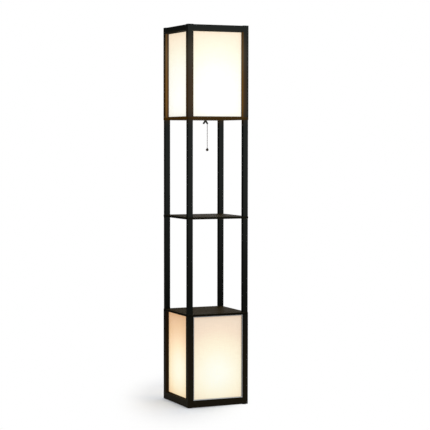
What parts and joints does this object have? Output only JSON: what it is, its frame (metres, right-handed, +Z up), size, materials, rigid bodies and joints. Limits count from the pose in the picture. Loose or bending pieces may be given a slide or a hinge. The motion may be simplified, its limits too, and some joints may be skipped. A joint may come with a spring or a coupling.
{
  "type": "floor lamp with shelves",
  "caption": "Square black tower lamp with a lit white shade box at the top and the bottom, open shelf bays between them, a bead pull chain and a lift-off lower front panel.",
  "frame": {"origin": "on the floor, under the middle of the square tower", "axes": "+Z up along the tower, -Y the front with the lift-off lower panel, +X to the right seen from the front"},
  "size_m": [0.267, 0.267, 1.55],
  "materials": {
    "black_wood": "black satin lacquer over fine-grained wood",
    "black_board": "black satin lacquer on board, slightly brown in warm light",
    "shade_fabric": "off-white translucent woven shade, lit from inside",
    "grey_rim": "thin satin silver-grey rim",
    "black_plastic": "moulded black, slightly glossy",
    "brass": "pressed brass",
    "bulb_glass": "frosted white, lit",
    "cap_metal": "rolled screw thread",
    "chain_metal": "nickel-plated beads, warm in the lamp's light",
    "ball_metal": "antique bronze",
    "nut_metal": "dull zinc",
    "steel": "zinc plated",
    "magnet": "nickel plated",
    "felt": "pressed black felt",
    "wire_sleeve": "soft black sleeve"
  },
  "bodies": {
    "tower": {"base_board": "black_board", "bottom_rail_back": "black_wood", "bottom_rail_front": "black_wood", "bottom_rail_left": "black_wood", "bottom_rail_right": "black_wood", "bulb_caps": "cap_metal", "chain_spouts": "black_plastic", "cord_grommet": "black_plastic", "foot_glides": "felt", "holder_screws": "steel", "hub_nut": "nut_metal", "inner_chain": "chain_metal", "internal_wires": "wire_sleeve", "lower_bay_post_back_left": "black_wood", "lower_bay_post_back_right": "black_wood", "lower_bay_post_front_left": "black_wood", "lower_bay_post_front_right": "black_wood", "lower_bulb_glass": "bulb_glass", "lower_lamp_holder": "black_plastic", "lower_post_back_left": "black_wood", "lower_post_back_right": "black_wood", "lower_post_front_left": "black_wood", "lower_post_front_right": "black_wood", "lower_shade_back": "shade_fabric", "lower_shade_left": "shade_fabric", "lower_shade_right": "shade_fabric", "lower_shelf": "black_board", "middle_shelf": "black_board", "panel_magnets": "magnet", "post_studs": "steel", "shade_strips": "black_wood", "socket_shells": "brass", "switch_housing": "black_plastic", "switch_spring": "steel", "top_rail_back": "black_wood", "top_rail_front": "black_wood", "top_rail_left": "black_wood", "top_rail_right": "black_wood", "upper_bay_post_back_left": "black_wood", "upper_bay_post_back_right": "black_wood", "upper_bay_post_front_left": "black_wood", "upper_bay_post_front_right": "black_wood", "upper_bulb_glass": "bulb_glass", "upper_floor": "black_board", "upper_lamp_holder": "black_plastic", "upper_post_back_left": "black_wood", "upper_post_back_right": "black_wood", "upper_post_front_left": "black_wood", "upper_post_front_right": "black_wood", "upper_shade_back": "shade_fabric", "upper_shade_front": "shade_fabric", "upper_shade_left": "shade_fabric", "upper_shade_right": "shade_fabric"},
    "front_panel": {"front_panel_rim": "grey_rim", "front_panel_shade": "shade_fabric"},
    "chain_head": {"chain_top_bead": "chain_metal"},
    "chain_knuckle": {"chain_yoke_bead": "chain_metal"},
    "hanging_chain": {"pull_chain": "chain_metal", "pull_ball": "ball_metal"},
    "switch_drum": {"switch_drum": "black_plastic"}
  },
  "joints": [
    {"name": "front_panel_lift_off", "type": "slide", "parent": "tower", "child": "front_panel", "axis": [0, -1, 0], "range_m": [0, 0.08]},
    {"name": "chain_pull", "type": "slide", "parent": "tower", "child": "chain_head", "axis": [0, 0, -1], "range_m": [0, 0.005], "stiffness_N_per_m": 400, "springref_m": -0.005},
    {"name": "chain_swing_front_back", "type": "hinge", "parent": "chain_head", "child": "chain_knuckle", "pos_m": [0.008, 0, 1.149], "axis": [1, 0, 0], "range_deg": [-45, 45]},
    {"name": "chain_swing_side", "type": "hinge", "parent": "chain_knuckle", "child": "hanging_chain", "pos_m": [0.008, 0, 1.149], "axis": [0, 1, 0], "range_deg": [-45, 45]},
    {"name": "drum_turn", "type": "hinge", "parent": "tower", "child": "switch_drum", "pos_m": [-0.0066, 0, 1.189], "axis": [0, 1, 0], "range_deg": [0, 45]}
  ],
  "couplings": [
    {"joint": "drum_turn", "follows": "chain_pull", "rad_per_m": 151.52}
  ]
}
